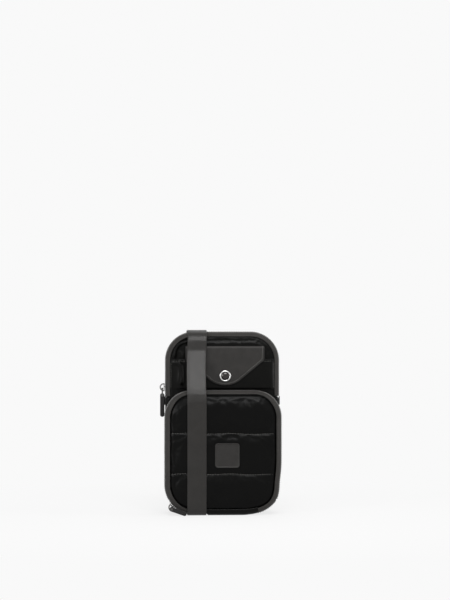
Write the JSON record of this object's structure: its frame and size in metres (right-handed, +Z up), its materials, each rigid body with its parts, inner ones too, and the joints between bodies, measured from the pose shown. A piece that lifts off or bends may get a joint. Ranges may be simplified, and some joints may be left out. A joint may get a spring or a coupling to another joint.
{
  "type": "phone pouch",
  "caption": "Upright padded crossbody phone pouch with a zipped main compartment, a quilted zipped front pocket, a snap flap over a slip pocket and a webbing strap.",
  "frame": {"origin": "centre of the base on the surface that the pouch stands on", "axes": "+Z up, +X to the right as seen from the front, -Y towards the front"},
  "size_m": [0.1275, 0.1546, 0.193],
  "materials": {
    "padded_fabric": "glossy coated nylon, padded",
    "tape": "matte woven zip tape",
    "lining": "plain smooth lining",
    "teeth": "dark nickel",
    "leather": "matte grained",
    "metal": "polished nickel",
    "dark_metal": "dark nickel, satin",
    "webbing": "ribbed matte webbing"
  },
  "bodies": {
    "body": {"main_front_panel": "padded_fabric", "main_tape_front": "tape", "main_teeth_front": "teeth", "main_gusset_lower": "padded_fabric", "zip_end_left": "tape", "zip_end_right": "tape", "back_panel_lower": "padded_fabric", "back_piping_lower": "tape", "lining_front": "lining", "lining_back_lower": "lining", "inner_slip_pocket": "lining", "slip_pocket_panel": "padded_fabric", "flap_anchor": "leather", "snap_stud": "metal", "pocket_gusset": "padded_fabric", "pocket_tape_rear": "tape", "pocket_teeth_rear": "teeth", "pocket_teeth_low": "teeth", "pocket_sill": "padded_fabric", "pocket_lining_rear": "lining", "strap_left": "webbing", "strap_front": "webbing", "strap_under": "webbing", "strap_hank": "webbing", "strap_right": "webbing", "strap_return": "webbing", "strap_adjuster": "dark_metal"},
    "mouth_back": {"back_panel_upper": "padded_fabric", "main_gusset_rear": "padded_fabric", "main_tape_rear": "tape", "main_teeth_rear": "teeth", "back_piping_upper": "tape", "lining_back_upper": "lining", "ring_tab_left": "webbing", "ring_tab_right": "webbing"},
    "ring_left": {"ring_left": "metal"},
    "ring_right": {"ring_right": "metal"},
    "pocket_door": {"pocket_door_panel": "padded_fabric", "pocket_tape_front": "tape", "pocket_teeth_front": "teeth", "pocket_lining_front": "lining", "badge": "leather"},
    "flap": {"flap": "leather", "flap_lining": "lining", "snap_socket": "metal", "snap_cap": "metal"},
    "main_slider": {"main_slider": "metal"},
    "main_puller": {"main_puller_link": "metal", "main_pull_tab": "leather"},
    "pocket_slider": {"pocket_slider": "metal"},
    "pocket_puller": {"pocket_puller_link": "metal", "pocket_pull_tab": "leather"}
  },
  "joints": [
    {"name": "main_mouth", "type": "hinge", "parent": "body", "child": "mouth_back", "pos_m": [0, 0.0235, 0.123], "axis": [-1, 0, 0], "range_deg": [0, 35], "deforming": ["strap_left", "strap_right", "strap_return"]},
    {"name": "ring_left_swing", "type": "hinge", "parent": "mouth_back", "child": "ring_left", "pos_m": [-0.0276, 0.0272, 0.14], "axis": [-1, 0, 0], "range_deg": [0, 170]},
    {"name": "ring_right_swing", "type": "hinge", "parent": "mouth_back", "child": "ring_right", "pos_m": [0.0276, 0.0272, 0.14], "axis": [1, 0, 0], "range_deg": [0, 170]},
    {"name": "pocket_mouth", "type": "hinge", "parent": "body", "child": "pocket_door", "pos_m": [0, -0.0235, 0.015], "axis": [1, 0, 0], "range_deg": [0, 85], "deforming": ["strap_front"]},
    {"name": "flap_lift", "type": "hinge", "parent": "body", "child": "flap", "pos_m": [0.0025, -0.00495, 0.1762], "axis": [-1, 0, 0], "range_deg": [0, 150]},
    {"name": "main_slider_run", "type": "slide", "parent": "body", "child": "main_slider", "axis": [0, 0, 1], "range_m": [-0.0038, 0.0235]},
    {"name": "main_puller_swing", "type": "hinge", "parent": "main_slider", "child": "main_puller", "pos_m": [-0.0632, 0.0048, 0.13103], "axis": [0, 1, 0], "range_deg": [0, 150]},
    {"name": "pocket_slider_run", "type": "hinge", "parent": "body", "child": "pocket_slider", "pos_m": [-0.029, -0.0157, 0.032], "axis": [0, 1, 0], "range_deg": [-5, 35]},
    {"name": "pocket_puller_swing", "type": "hinge", "parent": "pocket_slider", "child": "pocket_puller", "pos_m": [-0.05389, -0.0157, 0.00711], "axis": [0, -1, 0], "range_deg": [0, 170]}
  ]
}
